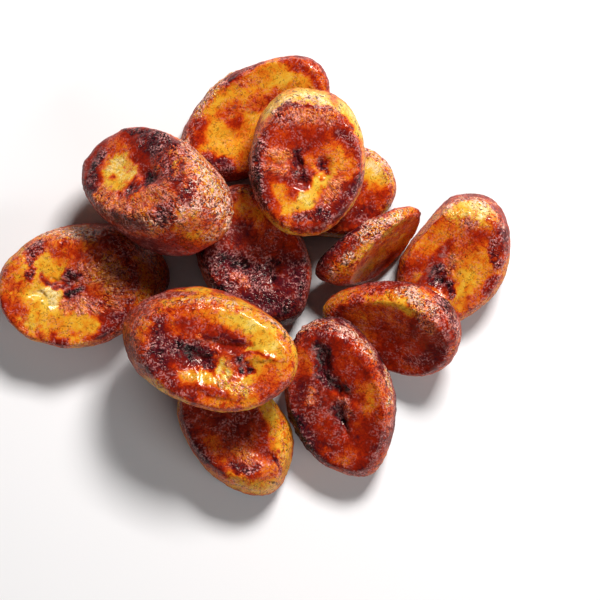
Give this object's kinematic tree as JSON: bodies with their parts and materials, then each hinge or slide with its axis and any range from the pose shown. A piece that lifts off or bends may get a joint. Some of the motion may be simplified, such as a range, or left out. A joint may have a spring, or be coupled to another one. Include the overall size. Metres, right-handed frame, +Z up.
{
  "type": "serving of fried ripe plantain slices",
  "caption": "Loose heap of bias-cut fried ripe plantain slices with browned, glossy cut faces, sunken seed cores and wrinkled skin sides.",
  "frame": {"origin": "centre of the heap's bounding box, on the surface that it rests on", "axes": "+X to the right along the heap's longest extent, +Y away from the viewer, +Z up"},
  "size_m": [0.1608, 0.1392, 0.0434],
  "materials": {
    "golden_crust": "oily gloss, golden yellow fried flesh with brown specks",
    "orange_crust": "oily gloss, orange to red-brown fried flesh",
    "red_brown_crust": "oily gloss, caramelised red-brown flesh",
    "dark_crust": "oily gloss, dark caramelised flesh with black seed core"
  },
  "bodies": {
    "root": {"slice_left": "golden_crust", "slice_left_upper": "red_brown_crust", "slice_back": "golden_crust", "slice_back_upper": "orange_crust", "slice_back_right": "orange_crust", "slice_middle": "dark_crust", "slice_on_edge": "orange_crust", "slice_right": "orange_crust", "slice_right_leaning": "red_brown_crust", "slice_front_right": "dark_crust", "slice_front_left": "red_brown_crust", "slice_front_upper": "golden_crust"}
  },
  "joints": []
}
